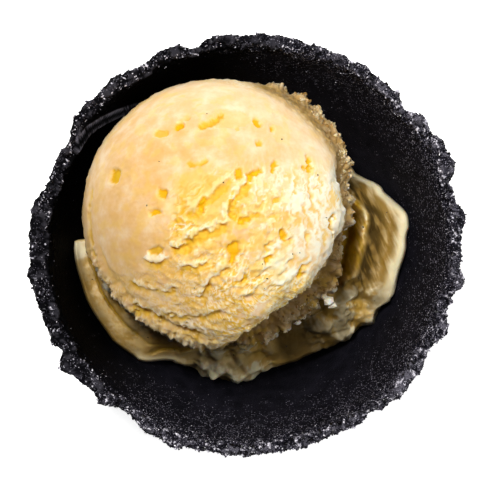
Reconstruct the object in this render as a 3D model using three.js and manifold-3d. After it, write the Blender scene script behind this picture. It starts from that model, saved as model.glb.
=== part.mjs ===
// An ice cream cup: one big scoop of vanilla ice cream on a softer lower mass of the same ice cream,
// in a black wafer cup with a torn rim. Millimetres, +Z up. The origin is the middle of the cup's
// flat base, and the scoop leans towards -X +Y.
import * as THREE from 'three';
import { mergeVertices } from 'three/addons/utils/BufferGeometryUtils.js';
import Module from 'manifold-3d';

const { clamp, degToRad, euclideanModulo, lerp, radToDeg, smoothstep } = THREE.MathUtils;
const wasm = await Module();
wasm.setup();

// Wafer cup
const CUP_HEIGHT = 47; // mean height of the rim
const RIM_RADIUS = 52; // mean, outside
const BASE_RADIUS = 30; // outside, where the wall leaves the foot
const BOW = 1.4; // how far the wall swells past a straight cone
const FOOT_ROUND = 2.5;
const FLOOR_THICK = 3;
const FLOOR_ROUND = 5; // inside, between floor and wall
const WALL_THICK = 2.5; // measured level
const COLUMNS = 112; // steps round the cup

// The wafer is one sheet rolled round once and a bit more, so its two ends lap: one shows inside the
// cup, the other outside. Each end is a plate that stands off the wall at its cut edge, and thins
// into the wall from there.
const LAP_STEP = 1.5;
const LAP_BURIED = 1; // how deep a lap reaches into the wall
const LAP_FOOT = 12; // height of its lower end
// Degrees: where the cut edge meets the rim, how far round the plate goes, and how far the cut edge
// has drifted at the foot of the wall
const INNER_LAP = { side: 'inside', cut: 158, turn: 75, slant: -62 };
const OUTER_LAP = { side: 'outside', cut: 216, turn: -80, slant: 40 };
const LAP_STEPS = [18, 6]; // along the rim and down the wall

// Rim: how far from round, as [waves round the rim, height of the wave, degrees to its first crest]
const WAVES = [[2, 0.6, 5], [3, 0.35, 290], [7, 0.45, 0]];

// The biggest crags and notches of the rim, as [degrees, half width in degrees, reach outwards]
const CRAGS = [
  [7, 3, 1.4], [22, 3.5, 2.6], [28, 3, 1.8], [35, 4, 1.1], [41, 3, -1.7], [50, 4, -1], [66, 3, 0.3],
  [82, 8, 0.9], [105, 2.5, -1.5], [114, 4, 0.7], [129, 5, 1.6], [140, 5, 0.6], [150, 4, -1.8],
  [157, 6, -2.2], [164, 3, -1.4], [176, 4, 0.6], [188, 3.5, 1], [203, 6, -0.5], [210, 2, -1.2],
  [214, 2.5, 1.2], [227, 3, 1.9], [244, 6, 1.1], [250, 2, 1], [270, 2.5, 0.6], [285, 2, 0.7],
  [296, 4, -0.7], [306, 2.5, -1.2], [316, 3, 1.1], [324, 3, 0.9], [336, 4, 1.7], [350, 3, 1.7],
];
const CRAG_SPREAD = 1.6; // the foot of a crag against its half width
const CRAG_LIFT = 0.5; // share of a crag's reach that also raises the rim
const CRAG_DEPTH = 7; // how far below the rim a crag dies out
const CRAG_INSIDE = 0.4; // share of it that the inside follows
const CRAG_CREST = 0.8; // share of it that the middle of the rim follows
const RIM_CHAMFER = 0.7;
const BUBBLES = 0.5; // small bumps all round the rim

// Scoop
const SCOOP_CENTRE = new THREE.Vector3(-7.4, 7.5, 46.5);
const SCOOP_RADIUS = 33;
const SCOOP_DETAIL = 12; // steps along each side of the twenty starting triangles
const SEAT_RADIUS = 30; // the ball below its lip, where it sits in the lower mass
const SEAT_DROP = 19.5; // from the ball's centre down to its flat seat
const LIP = 96; // degrees from straight up to the torn lip
const LIP_WIDE = 7; // degrees
const SHOULDER = 28.8; // on the side turned from the smooth face, where the dome breaks off steeply
const SHOULDER_MIDDLE = -32; // degrees round the ball
const SHOULDER_HALF = 66;
const LEFT_SHOULDER = 31.2; // where the ball is squashed above its lip
const LEFT_MIDDLE = 228;
const LEFT_HALF = 36;
const COLLAR_REACH = 34.8; // crumbly collar beside the shoulder
const COLLAR_MIDDLE = 34;
const COLLAR_HALF = 48;
const CRUMBLE = 0.6; // lumps towards the lip
const DRAWN = 0.16; // how strongly the steps crowd towards the lip
const STEEPEST = 0.05; // keeps the reach finite straight up and down

// Terraces torn across the dome: [plan x, plan y of the middle from the ball's centre, direction in
// degrees, length, depth]
const TERRACES = [
  [-12, -9, 8, 26, 1.1], [2, -2, 38, 20, 1.3], [-4, -14, 4, 30, 1], [4, 22, 24, 26, 0.8],
  [9, -20, 20, 26, 0.8],
];
const TERRACE_WIDE = 2.6;

// Lower mass: its outline from above as [degrees round the cup, distance out, height of the edge]
const EDGE = [
  [0, 41.2, 30], [10, 42, 31], [22, 38, 27], [34, 34, 24], [70, 34, 23], [110, 35, 23], [150, 36, 27],
  [168, 40, 32], [180, 43.2, 35.5], [196, 41.8, 33], [214, 41, 31], [226, 40, 29.5], [238, 35.5, 27],
  [252, 35, 25.5], [264, 35.8, 25.5], [282, 32.4, 24.5], [300, 33, 24.5], [318, 35.6, 25.5],
  [334, 38.4, 27.5], [346, 39.6, 28.5],
];
const EDGE_ROUND = 1.6; // how far the edge rolls over
const ROUNDING = 3; // how much lower the edge is than the roll inside it, away from the ridge
const ROUNDED_FROM = 0.45; // share
const EDGE_DROP = 9; // how far the edge hangs before it turns in to the wall
const SEAT_CREASE = 31.5; // height where the lower mass meets the ball
const RIDGE_SHARE = 0.42; // share of the way from that crease to the edge
const RIDGE_HIGH = 4;
const RIDGE_WIDE = 0.22; // share
const RIDGE_MIDDLE = -4; // degrees round the cup
const RIDGE_HALF = 34;
const HOLLOW = 1.8; // dip between ridge and edge
const HOLLOW_SHARE = 0.72;
const HOLLOW_WIDE = 0.2; // share
const DIP = 2.4; // beside the ball
const DIP_SHARE = 0.22;
const DIP_WIDE = 0.24;
const DIP_FILLED = 0.6; // share of the dip that the ridge fills
const LUMPS = 0.9;
const LOWER_COLUMNS = 80;

const GAP = 0.4; // between pieces that touch
const LAP_MARGIN = 6; // degrees that the lower mass keeps clear of the inner cut edge
const FULL_TURN = 360;

const waferBlack = new THREE.MeshStandardMaterial({ color: 0x17161b, roughness: 0.7, metalness: 0 });
const vanilla = new THREE.MeshStandardMaterial({ color: 0xf4ca88, roughness: 0.5, metalness: 0 });
const softVanilla = new THREE.MeshStandardMaterial({ color: 0xb9995a, roughness: 0.4, metalness: 0 });

// A repeatable number from 0 to 1 for each whole-numbered place
function scatter(x, y, z) {
  const wide = Math.sin(x * 12.9898 + y * 78.233 + z * 37.719) * 43758.5453;
  return wide - Math.floor(wide);
}

// Smooth lumps from -1 to 1, about one unit across
function lump(x, y, z) {
  const [i, j, k] = [Math.floor(x), Math.floor(y), Math.floor(z)];
  const [u, v, w] = [x - i, y - j, z - k].map((share) => smoothstep(share, 0, 1));
  const along = (b, c) => lerp(scatter(i, b, c), scatter(i + 1, b, c), u);
  const across = (c) => lerp(along(j, c), along(j + 1, c), v);
  return 2 * lerp(across(k), across(k + 1), w) - 1;
}

// The signed difference of two directions, from -180 to 180 degrees
function turnBetween(from, to) {
  return euclideanModulo(to - from + FULL_TURN / 2, FULL_TURN) - FULL_TURN / 2;
}

// 1 in the middle, 0 beyond the half width, rounded between
function swell(distance, half) {
  const share = clamp(1 - Math.abs(distance) / half, 0, 1);
  return smoothstep(share, 0, 1);
}

// 1 through the middle of a sector of directions, 0 outside it
function inSector(degrees, middle, half) {
  return smoothstep(swell(turnBetween(middle, degrees), half * 1.3), 0, 0.5);
}

// A closed body turned about the Z axis from a profile of [radius, height], each point then put
// where place(radius, height, column, row) says
function turned(profile, columns, place) {
  const points = profile.map(([radius, height]) => new THREE.Vector2(radius, height));
  const geometry = new THREE.LatheGeometry(points, columns);
  geometry.deleteAttribute('normal');
  geometry.deleteAttribute('uv');
  const position = geometry.getAttribute('position');
  for (let i = 0; i < position.count; i += 1) {
    const row = i % profile.length;
    const column = Math.floor(i / profile.length) % columns;
    const spot = place(...profile[row], column, row);
    position.setXYZ(i, spot.x, spot.y, spot.z);
  }
  return finished(geometry);
}

function finished(geometry) {
  const merged = mergeVertices(geometry);
  merged.computeVertexNormals();
  return merged;
}

function polar(radius, degrees, height) {
  const angle = degToRad(degrees);
  return new THREE.Vector3(radius * Math.cos(angle), radius * Math.sin(angle), height);
}

// Outer radius of a plain cup at a height
function plainOutside(height) {
  const share = height / CUP_HEIGHT;
  return lerp(BASE_RADIUS, RIM_RADIUS, share) + BOW * Math.sin(Math.PI * share);
}

// How far the rim stands out of round, fading down the wall
function outOfRound(degrees, height) {
  const wave = WAVES.reduce(
    (sum, [count, high, crest]) => sum + high * Math.cos(degToRad(count * (degrees - crest))),
    0,
  );
  return wave * (height / CUP_HEIGHT) ** 2;
}

function cragReach(degrees) {
  const crags = CRAGS.reduce(
    (sum, [middle, half, reach]) => sum + reach * swell(turnBetween(middle, degrees), half * CRAG_SPREAD),
    0,
  );
  const around = polar(RIM_RADIUS / 3, degrees, 0);
  return crags + BUBBLES * lump(around.x, around.y, 0);
}

function cupOutside(degrees, height) {
  return plainOutside(height) + outOfRound(degrees, height);
}

function cupInside(degrees, height) {
  return cupOutside(degrees, height) - WALL_THICK;
}

// The rim is torn: a place near it is pushed out and up
function tornSpot(radius, degrees, height, share) {
  const torn = cragReach(degrees) * smoothstep(height, CUP_HEIGHT - CRAG_DEPTH, CUP_HEIGHT);
  return polar(radius + torn * share, degrees, height + CRAG_LIFT * torn);
}

function cupProfile() {
  const floorRadius = plainOutside(FLOOR_THICK) - WALL_THICK - FLOOR_ROUND;
  const outer = [6, 14, 22, 30, 37, 42, 45, CUP_HEIGHT - RIM_CHAMFER];
  const inner = [CUP_HEIGHT - RIM_CHAMFER, 45, 41, 36, 29, 22, 15, FLOOR_THICK + FLOOR_ROUND];
  return [
    [0, 0], [BASE_RADIUS - 4, 0], [BASE_RADIUS - 1, FOOT_ROUND / 4], [BASE_RADIUS, FOOT_ROUND],
    ...outer.map((height) => ['outside', height]),
    ['crest', CUP_HEIGHT],
    ...inner.map((height) => ['inside', height]),
    [floorRadius + FLOOR_ROUND * 0.7, FLOOR_THICK + FLOOR_ROUND * 0.3],
    [floorRadius, FLOOR_THICK], [0, FLOOR_THICK],
  ];
}

function placeCup(side, height, column) {
  const degrees = (column / COLUMNS) * FULL_TURN;
  if (side === 'outside') return tornSpot(cupOutside(degrees, height), degrees, height, 1);
  if (side === 'inside') return tornSpot(cupInside(degrees, height), degrees, height, CRAG_INSIDE);
  if (side === 'crest') {
    return tornSpot(cupOutside(degrees, height) - WALL_THICK / 2, degrees, height, CRAG_CREST);
  }
  return polar(side, degrees, height);
}

function rolledWall() {
  const profile = cupProfile();
  const rough = profile.map(([side, height]) => [typeof side === 'number' ? side : RIM_RADIUS, height]);
  return turned(rough, COLUMNS, (radius, height, column, row) => placeCup(profile[row][0], height, column));
}

// One end of the sheet as a bent plate: x runs from its cut edge along the rim, y up the wall, and z
// from its buried face to its bare one
function lapPlate({ side, cut, turn, slant }) {
  const geometry = new THREE.BoxGeometry(1, 1, 1, ...LAP_STEPS, 1);
  const position = geometry.getAttribute('position');
  const inwards = side === 'inside';
  for (let i = 0; i < position.count; i += 1) {
    const along = position.getX(i) + 0.5;
    const height = lerp(LAP_FOOT, CUP_HEIGHT - RIM_CHAMFER, position.getY(i) + 0.5);
    const depth = 1 - height / CUP_HEIGHT;
    const degrees = cut + turn * along + slant * Math.sqrt(depth) * (1 - along);
    const bare = position.getZ(i) > 0;
    const proud = bare ? lerp(LAP_STEP, -LAP_BURIED / 2, along) : -LAP_BURIED;
    const wall = inwards ? cupInside(degrees, height) : cupOutside(degrees, height);
    const spot = tornSpot(wall + (inwards ? -proud : proud), degrees, height, inwards ? CRAG_INSIDE : 1);
    position.setXYZ(i, spot.x, spot.y, spot.z);
  }
  geometry.deleteAttribute('normal');
  geometry.deleteAttribute('uv');
  const turnsOver = inwards === (turn > 0);
  return turnsOver ? turnedOver(finished(geometry)) : finished(geometry);
}

function turnedOver(geometry) {
  const index = geometry.getIndex();
  for (let i = 0; i < index.count; i += 3) {
    const first = index.getX(i);
    index.setX(i, index.getX(i + 1));
    index.setX(i + 1, first);
  }
  return geometry;
}

function solidOf(geometry) {
  const vertProperties = new Float32Array(geometry.getAttribute('position').array);
  const triVerts = new Uint32Array(geometry.getIndex().array);
  const mesh = new wasm.Mesh({ numProp: 3, vertProperties, triVerts });
  mesh.merge();
  return new wasm.Manifold(mesh);
}

function waferCup() {
  const joined = solidOf(rolledWall()).add(solidOf(lapPlate(INNER_LAP))).add(solidOf(lapPlate(OUTER_LAP)));
  const mesh = joined.getMesh();
  const geometry = new THREE.BufferGeometry();
  geometry.setAttribute('position', new THREE.BufferAttribute(mesh.vertProperties, 3));
  geometry.setIndex(new THREE.BufferAttribute(mesh.triVerts, 1));
  return finished(geometry);
}

// How deep the torn terraces cut at a place on the dome, in plan from the ball's centre
function terraceDepth(x, y) {
  return TERRACES.reduce((sum, [middleX, middleY, direction, length, depth]) => {
    const angle = degToRad(direction);
    const along = (x - middleX) * Math.cos(angle) + (y - middleY) * Math.sin(angle);
    const across = (y - middleY) * Math.cos(angle) - (x - middleX) * Math.sin(angle);
    const step = smoothstep(across, -TERRACE_WIDE, 0) * (1 - smoothstep(across, 0, TERRACE_WIDE * 2));
    return sum - depth * step * swell(along, length / 2);
  }, 0);
}

// Distance from the ball's centre to its surface in a direction
function scoopReach(direction) {
  const fromTop = radToDeg(Math.acos(clamp(direction.z, -1, 1)));
  const around = radToDeg(Math.atan2(direction.y, direction.x));
  const level = Math.max(Math.hypot(direction.x, direction.y), STEEPEST);
  const squashed = inSector(around, LEFT_MIDDLE, LEFT_HALF);
  const broken = inSector(around, SHOULDER_MIDDLE, SHOULDER_HALF);
  const shoulder = lerp(lerp(SCOOP_RADIUS + 2, LEFT_SHOULDER, squashed), SHOULDER, broken);
  const dome = Math.min(SCOOP_RADIUS, shoulder / level);
  const lipReach = lerp(SCOOP_RADIUS, COLLAR_REACH, inSector(around, COLLAR_MIDDLE, COLLAR_HALF));
  const { x, y, z } = direction.clone().multiplyScalar(SCOOP_RADIUS / 3);
  const crumble = lump(x, y, z) + 0.5 * lump(x * 2, y * 2, z * 2);
  const tornLip = swell(fromTop - LIP - 1.5 * crumble, LIP_WIDE * 1.6);
  const upper = lerp(dome, lipReach, tornLip) + CRUMBLE * crumble * smoothstep(fromTop, 45, 85);
  const seat = Math.min(SEAT_RADIUS, SEAT_DROP / Math.max(-direction.z, STEEPEST));
  const below = smoothstep(fromTop, LIP + 3, LIP + 9);
  const plan = direction.clone().multiplyScalar(SCOOP_RADIUS);
  const torn = terraceDepth(plan.x, plan.y) * (1 - smoothstep(fromTop, 70, 85));
  return lerp(upper + torn, seat, below);
}

// The direction with its steepness drawn towards the lip, where the ball needs the finest steps
function towardsLip(direction) {
  const fromTop = Math.acos(clamp(direction.z, -1, 1));
  const drawn = fromTop + DRAWN * Math.sin(2 * fromTop);
  const around = radToDeg(Math.atan2(direction.y, direction.x));
  return polar(Math.sin(drawn), around, Math.cos(drawn));
}

function scoop() {
  const geometry = new THREE.IcosahedronGeometry(1, SCOOP_DETAIL);
  geometry.deleteAttribute('normal');
  geometry.deleteAttribute('uv');
  const position = geometry.getAttribute('position');
  for (let i = 0; i < position.count; i += 1) {
    const direction = towardsLip(new THREE.Vector3().fromBufferAttribute(position, i).normalize());
    const spot = direction.multiplyScalar(scoopReach(direction));
    position.setXYZ(i, spot.x, spot.y, spot.z);
  }
  return finished(geometry);
}

// The outline of the lower mass in a direction round the cup: how far out, and how high
function lowerEdge(degrees) {
  const after = EDGE.findIndex(([angle]) => angle > degrees);
  const next = after === -1 ? EDGE.length : after;
  const from = EDGE[next - 1];
  const to = EDGE[next % EDGE.length];
  const span = euclideanModulo(to[0] - from[0], FULL_TURN);
  const share = smoothstep((degrees - from[0]) / span, 0, 1);
  return { out: lerp(from[1], to[1], share), high: lerp(from[2], to[2], share) };
}

// Clear of the cup's inner wall, and of the lap on it
function clearOfWall(degrees, height) {
  const { cut, turn, slant } = INNER_LAP;
  const edge = cut + slant * Math.sqrt(1 - height / CUP_HEIGHT);
  const pastEdge = euclideanModulo(degrees - edge + LAP_MARGIN, FULL_TURN);
  const lapped = LAP_STEP * clamp(1 - (pastEdge - LAP_MARGIN) / (cut + turn - edge), 0, 1);
  return cupInside(degrees, height) - lapped - GAP;
}

// The lower mass from the crease round the ball (share 0) to its outer edge (share 1)
function lowerTop(crease, edge, share, degrees) {
  const spot = crease.clone().lerp(edge, share);
  const facing = swell(turnBetween(RIDGE_MIDDLE, degrees), RIDGE_HALF);
  const ridge = RIDGE_HIGH * facing * swell(share - RIDGE_SHARE, RIDGE_WIDE);
  const hollow = HOLLOW * facing * swell(share - HOLLOW_SHARE, HOLLOW_WIDE);
  const dip = DIP * (1 - DIP_FILLED * facing) * swell(share - DIP_SHARE, DIP_WIDE);
  const roll = ROUNDING * (1 - facing) * (share - smoothstep(share, ROUNDED_FROM, 1) ** 2);
  const lumps = LUMPS * lump(spot.x / 4, spot.y / 4, 0) * Math.sin(Math.PI * share);
  spot.z += ridge - hollow - dip + roll + lumps;
  return spot;
}

const WALL_SHARES = [0, 0.25, 0.5, 0.75, 1];
const TOP_SHARES = [0.94, 0.86, 0.77, 0.68, 0.59, 0.5, 0.41, 0.32, 0.22, 0.1, 0];
const SEAT_RINGS = [23, 12, 0];

function placeLower(row, column) {
  const degrees = (column / LOWER_COLUMNS) * FULL_TURN;
  const floor = FLOOR_THICK + GAP;
  const facing = swell(turnBetween(RIDGE_MIDDLE, degrees), RIDGE_HALF);
  const { out, high: roll } = lowerEdge(degrees);
  const high = roll - ROUNDING * (1 - facing);
  const reach = Math.min(out, clearOfWall(degrees, high));
  const edge = polar(reach, degrees, high);
  const turnIn = Math.max(high - EDGE_DROP, floor + FLOOR_ROUND + 1);
  const rows = [
    () => new THREE.Vector3(0, 0, floor),
    () => polar(plainOutside(FLOOR_THICK) - WALL_THICK - FLOOR_ROUND - 1, degrees, floor),
    ...WALL_SHARES.map((share) => () => {
      const height = lerp(floor + FLOOR_ROUND, turnIn, share);
      return polar(Math.min(clearOfWall(degrees, height), reach), degrees, height);
    }),
    () => polar(Math.min(reach, clearOfWall(degrees, high - EDGE_ROUND)), degrees, high - EDGE_ROUND),
    () => polar(reach - EDGE_ROUND * 0.3, degrees, high - EDGE_ROUND * 0.3),
  ];
  if (row < rows.length) return rows[row]();

  const seat = new THREE.Vector2(SCOOP_CENTRE.x, SCOOP_CENTRE.y);
  const outwards = new THREE.Vector2(edge.x, edge.y).sub(seat).normalize();
  const seatRadius = SEAT_RADIUS + GAP * 1.5;
  const creaseOut = Math.sqrt(seatRadius ** 2 - (SCOOP_CENTRE.z - SEAT_CREASE) ** 2);
  const onSeat = (distance, height) => {
    const spot = outwards.clone().multiplyScalar(distance).add(seat);
    return new THREE.Vector3(spot.x, spot.y, height);
  };
  const topRow = row - rows.length;
  if (topRow < TOP_SHARES.length) {
    return lowerTop(onSeat(creaseOut, SEAT_CREASE), edge, TOP_SHARES[topRow], degrees);
  }
  return onSeat(SEAT_RINGS[topRow - TOP_SHARES.length], SCOOP_CENTRE.z - SEAT_DROP - GAP);
}

function lowerMass() {
  const middleRows = 1 + WALL_SHARES.length + 2 + TOP_SHARES.length + SEAT_RINGS.length - 1;
  const profile = [[0, 0]];
  for (let row = 1; row <= middleRows; row += 1) profile.push([BASE_RADIUS, row]);
  profile.push([0, middleRows + 1]);
  return turned(profile, LOWER_COLUMNS, (radius, height, column, row) => placeLower(row, column));
}

const iceCreamCup = new THREE.Group();

const cup = new THREE.Mesh(waferCup(), waferBlack);
cup.name = 'wafer_cup';
iceCreamCup.add(cup);

const lower = new THREE.Mesh(lowerMass(), softVanilla);
lower.name = 'ice_cream_lower';
iceCreamCup.add(lower);

const ball = new THREE.Mesh(scoop(), vanilla);
ball.name = 'ice_cream_scoop';
ball.position.copy(SCOOP_CENTRE);
iceCreamCup.add(ball);

export default iceCreamCup;
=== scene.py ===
import math
from functools import partial

import bmesh
import bpy
import numpy as np
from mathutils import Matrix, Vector


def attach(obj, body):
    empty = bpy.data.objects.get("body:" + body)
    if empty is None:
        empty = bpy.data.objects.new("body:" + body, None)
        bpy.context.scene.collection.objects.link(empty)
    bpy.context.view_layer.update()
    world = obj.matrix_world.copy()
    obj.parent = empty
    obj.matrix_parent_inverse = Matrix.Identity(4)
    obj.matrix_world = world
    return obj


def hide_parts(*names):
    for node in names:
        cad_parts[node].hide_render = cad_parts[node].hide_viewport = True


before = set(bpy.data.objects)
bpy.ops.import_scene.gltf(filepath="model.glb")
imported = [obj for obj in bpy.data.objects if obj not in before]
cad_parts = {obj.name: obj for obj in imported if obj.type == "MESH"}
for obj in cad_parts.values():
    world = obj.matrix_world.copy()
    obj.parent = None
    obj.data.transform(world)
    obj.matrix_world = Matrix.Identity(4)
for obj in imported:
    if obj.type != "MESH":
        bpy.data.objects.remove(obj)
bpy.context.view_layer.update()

# An ice cream cup seen from straight above: one scoop of vanilla on a softer lower mass of the same
# ice cream, in a black wafer cup with a torn rim. Shapes are worked out in millimetres, in the frame
# of the part, and turned to metres when a mesh is finished. Plan places on the scoop are counted from
# its centre, x to the right and y up in the picture.
MM = 0.001
FULL_TURN = 360

scene = bpy.context.scene

# Wafer cup
CUP_COLUMNS = 820  # steps round the cup
CUP_HEIGHT = 47
RIM_RADIUS = 52
BASE_RADIUS = 30
BOW = 1.4
FOOT_ROUND = 2.5
FLOOR_THICK = 3
FLOOR_ROUND = 5
WALL_THICK = 2.5
RIM_ARCH, RIM_SUNK = 0.7, 0.5
RIM_BAND = 5  # how far below the rim the crust is coarse
LAP_STEP = 1.5
LAP_CURVE = 0.5
LEAST_DEPTH = 0.002  # share of the height below the rim, where the lap's edge lies steepest
LAP_BEAD = 0.15
LAP_BEAD_WIDE = 0.5
LAP_HIGHLIGHT_FROM = (35, 40)  # heights between which the lap's edge gets its painted highlight
INNER_LAP = {"cut": 158, "turn": 75, "slant": -62}
OUTER_LAP = {"cut": 216, "turn": -80, "slant": 40}
WAVES = ((2, 0.6, 5), (3, 0.35, 290), (7, 0.45, 0))  # waves round the rim, height, first crest
CRAGS = (  # degrees round the rim, half width in degrees, reach outwards
    (7, 3, 1.4), (22, 3.5, 2.6), (28, 3, 1.8), (35, 4, 1.1), (41, 3, -1.7), (50, 4, -1), (66, 3, 0.3),
    (82, 8, 0.9), (105, 2.5, -1.5), (114, 4, 0.7), (129, 5, 1.6), (140, 5, 0.6), (150, 4, -1.8),
    (157, 6, -2.2), (164, 3, -1.4), (176, 4, 0.6), (188, 3.5, 1), (203, 6, -0.5), (210, 2, -1.2),
    (214, 2.5, 1.2), (227, 3, 1.9), (244, 6, 1.1), (250, 2, 1), (270, 2.5, 0.6), (285, 2, 0.7),
    (296, 4, -0.7), (306, 2.5, -1.2), (316, 3, 1.1), (324, 3, 0.9), (336, 4, 1.7), (350, 3, 1.7),
)
BUBBLES = ((27.3, 52.4, 46.5, 1.9), (20.6, 52.4, 46, 1.7), (8, 52.6, 46, 1.4), (318, 51.4, 46, 1.3))
CRAG_SPREAD = 1.6
CRAG_LIFT = 0.5
CRAG_DEPTH = 7
CRAG_INSIDE = 0.4
FINE_BLISTER, BLISTER, CRUST, COARSE_CRAG = 0.9, 1.9, 1.5, 3.2  # sizes across
SHADED_SECTOR, UNLIT_SECTOR = (158, 80), (150, 105)  # degrees round the cup: middle, half width; the first is painted in shade, the second gets fewer painted highlights and glints
SPECKLED_FROM = (16, 44)  # heights between which the pale specks and painted glints set in; below, the wall is in shade
GRIT, GRIT_SIZE = 4096, (0.1, 0.22)
FLAKES, FLAKE_SIZE = 2100, (0.2, 0.6)

# Scoop
SCOOP_CENTRE = np.array((-7.4, 7.5, 46.5))
SCOOP_RADIUS = 33
SCOOP_CUTS = 126  # cuts along each edge of the cube that is blown up to the ball
SEAT_RADIUS = 30
SEAT_DROP = 19.5
LIP = 96  # degrees from straight up
LIP_WIDE = 7
SHOULDER = (  # degrees round the scoop, distance out of the broken edge
    (-110, 33), (-95, 32), (-80, 29.9), (-66, 27), (-52, 26.4), (-40, 27.3), (-28, 28.1), (-13, 28.8),
    (-4, 30.6), (5, 30.7), (17, 28.8), (25, 29.4), (45, 33),
)
LIP_RAGGED = 1.5
TURN_OVER = 1.5  # how softly the ball turns over into its broken side
PLATEAU, PLATEAU_FROM_TOP, PLATEAU_WIDE = 3, 52, 42
COLLAR_REACH, COLLAR_DENT, TONGUE, LEFT_LIP_REACH = 35.4, 2.4, 1.1, 32
# Sectors of the scoop, as degrees round it: middle, half width
BROKEN_SECTOR, SMOOTH_SECTOR = (-32, 66), (140, 62)
COLLAR_SECTOR, DENT_SECTOR, TONGUE_SECTOR = (32, 44), (0, 20), (-28, 8)
LEFT_LIP_SECTOR, FRINGE_SECTOR = (228, 36), (234, 42)
POOL = (-2.6, 3.4)  # plan place of the big yellow hollow
FRAGMENTS = (  # x, y, height and size of bits that stand clear of the scoop
    (20.9, -15, 44, 1.3), (20.3, -13.8, 45, 1.4), (19, -12.8, 45, 1), (23.6, 11.2, 44, 0.7),
    (23.8, 8.4, 44.5, 0.8), (24.4, 4.2, 42, 0.9), (24, 1.6, 41.5, 0.8), (23.4, -0.6, 41, 0.7),
    (12.6, -19.4, 43, 0.9), (10.4, -20.6, 43, 0.8), (7, -21.8, 43, 0.9), (2.6, -23, 42.5, 0.8),
    (-2.4, -24.2, 42, 0.8), (24.6, 14.4, 43, 0.9), (22.4, 20.2, 43, 0.9), (19.2, 26.4, 43, 0.8),
)
SEEDS = (  # plan places of black seeds, x and y from the cup's middle
    (12.3, -2), (10.6, -2.3), (4.7, -8), (4.1, -10.3), (-39, -8.7), (-25.1, -23.5), (32.7, -14.4),
    (15, -22.8), (10.1, -26), (-23.2, 9), (-20.4, 19.2), (-5.4, 14.2), (3.6, -4.6), (-14.2, -18.4),
    (-9.4, 30.6), (8.2, 24.6), (18.6, 6.2), (-32.4, -11.2), (29.2, 4.4), (35.6, 8.2), (-3.4, -28.2),
    (-18.6, -27), (16.6, 16.2), (-12.2, -10.2),
)
SEED_SIZE = (0.14, 0.26)
CRUMBS, CRUMB_SIZE, CRUMB_SUNK = 520, (0.2, 0.62), 0.2

# Pits where the scoop pulled out bits: plan x, y, width, height, turn in degrees, depth
PITS = (
    (-23.7, 8.6, 2.3, 3.6, -18, 1.6), (-12.2, 4.3, 2.3, 2.4, -15, 1.6), (-13.9, -0.1, 3, 1.6, 14, 1.5),
    (-12.8, 18.6, 3.8, 2.2, 4, 1.1), (-8.5, 20.2, 2.5, 1.9, 25, 1.5), (-6.4, 21.9, 1.1, 0.7, 20, 0.9),
    (3, 21.8, 11, 4.4, 2, 0.7), (9.8, 21.2, 2.8, 1.5, -40, 1.5), (5.1, 19.6, 1.7, 1, 55, 0.9),
    (13.3, 19.8, 1, 1.7, 0, 1.3), (10.2, 16.1, 1.7, 1.2, 15, 1.2), (14.3, 23.1, 1, 0.9, 0, 0.6),
    (13.7, 10.7, 1.2, 3.2, -28, 1.3), (21.5, 11.1, 1.3, 3.6, -28, 1.5), (5.6, 8.9, 2, 2.4, 0, 1.5),
    (9, 8.7, 3.4, 1.8, 32, 1.7), (23.9, 5.5, 1.3, 0.9, -20, 1), (22.7, 4, 0.9, 1.7, 0, 0.9),
    (14.1, 2.7, 2.3, 1.8, 0, 1.2), (-2.9, 1.7, 1.6, 4.2, -20, 1.5), (-5.7, -0.8, 1.5, 2.6, 0, 1.2),
    (4, -0.8, 2, 1.8, 0, 1.2), (6.8, -1.9, 3, 2.2, -20, 1.6),
    (8.9, -0.7, 2.4, 1.6, 30, 1.2), (10.4, 1, 2, 1.4, 20, 1), (4.2, 4.5, 1.8, 1.3, 0, 1),
    (-4.1, -10.5, 1.3, 1, 0, 1), (-9.2, -4.7, 1.2, 1, 0, 0.8), (-9.2, -2.4, 1, 1.2, 0, 0.7),
    (13.4, -1.3, 2, 1.1, 0, 1.1), (15.8, -5.4, 1.7, 2.8, -14, 1.5),
    (12.7, -5.8, 1.3, 0.9, 0, 0.9), (17.4, -7, 1.3, 2.4, -10, 1), (12.5, -8.4, 1.1, 2.8, -30, 1.2),
    (12.5, -11.4, 1.8, 1.9, 0, 1.5), (21.7, -5.8, 0.9, 2.2, -10, 1), (20.4, -14, 1.3, 5, -30, 1.4),
    (7, -15.8, 2, 1.6, 30, 1.3), (4.2, -9.5, 2.2, 5.2, -8, 1.5), (27.4, -3, 1.1, 3.8, -4, 2.8),
    (-13.9, -9.2, 3.4, 1.8, 14, 1.2),
)
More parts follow.
